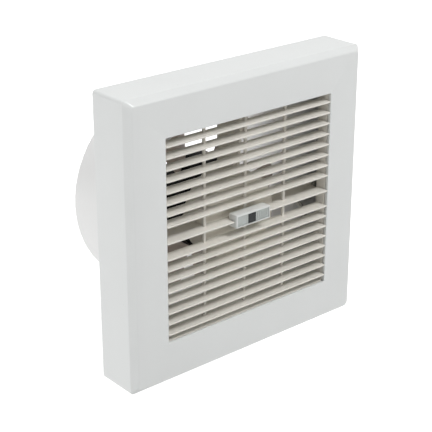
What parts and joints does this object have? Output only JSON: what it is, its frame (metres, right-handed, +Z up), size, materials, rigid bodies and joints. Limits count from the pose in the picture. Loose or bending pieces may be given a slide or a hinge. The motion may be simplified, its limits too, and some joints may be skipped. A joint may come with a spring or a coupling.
{
  "type": "window exhaust fan",
  "caption": "Square louvred extractor fan with a round rear duct spigot; a bladed impeller on an external-rotor motor turns inside it.",
  "frame": {"origin": "middle of the casing's back edge, in the plane of the wall or window panel that the fan seats against", "axes": "+X to the right as seen from the room, +Y from the room into the wall along the duct, +Z up"},
  "size_m": [0.2, 0.1022, 0.2],
  "materials": {
    "cover_plastic": "smooth moulded ABS, cool white",
    "louvre_plastic": "satin moulded plastic, warm white",
    "housing_plastic": "smooth moulded plastic, white",
    "mount_plastic": "satin moulded plastic, warm grey",
    "blade_plastic": "satin moulded plastic, pale grey",
    "badge_plastic": "smooth moulded plastic",
    "badge_insert": "bare pale grey plate",
    "tile_gloss": "bare black gloss tile",
    "can_paint": "black satin paint on pressed steel",
    "steel": "zinc-plated steel",
    "lamination": "stacked silicon-steel sheet",
    "aluminium": "die-cast aluminium",
    "copper": "enamelled copper wire",
    "brass": "plain brass",
    "terminal_plastic": "moulded polyamide, natural",
    "grey_plastic": "moulded plastic, mid grey",
    "rubber": "black moulded rubber",
    "lead_grey": "PVC insulation, grey",
    "lead_white": "PVC insulation, off-white"
  },
  "bodies": {
    "root": {"front_cover": "cover_plastic", "louvre_grille": "louvre_plastic", "badge_block": "badge_plastic", "badge_plate": "badge_insert", "badge_tile": "tile_gloss", "duct_housing": "housing_plastic", "motor_mount": "mount_plastic", "bearing_tube": "aluminium", "stator_stack": "lamination", "winding_front": "copper", "winding_rear": "copper", "front_bearing": "steel", "rear_bearing": "steel", "mount_screw_1": "steel", "mount_screw_2": "steel", "mount_screw_3": "steel", "mount_screw_4": "steel", "cover_screw_1": "steel", "cover_screw_2": "steel", "terminal_block": "terminal_plastic", "terminal_screw_1": "brass", "terminal_screw_2": "brass", "terminal_screw_3": "brass", "cable_clamp": "grey_plastic", "clamp_screw_1": "steel", "clamp_screw_2": "steel", "cable_grommet": "rubber", "terminal_cover": "grey_plastic", "terminal_cover_screw": "steel", "lead_live": "lead_grey", "lead_neutral": "lead_white"},
    "impeller": {"rotor_can": "can_paint", "rotor_ring": "lamination", "motor_shaft": "steel", "shaft_circlip": "steel", "hub_nut": "steel", "fan_blade_1": "blade_plastic", "fan_blade_2": "blade_plastic", "fan_blade_3": "blade_plastic", "fan_blade_4": "blade_plastic", "fan_blade_5": "blade_plastic", "fan_blade_6": "blade_plastic"}
  },
  "joints": [
    {"name": "fan_spin", "type": "hinge", "parent": "root", "child": "impeller", "pos_m": [0, 0.018, -0.0035], "axis": [0, -1, 0], "continuous": true}
  ]
}
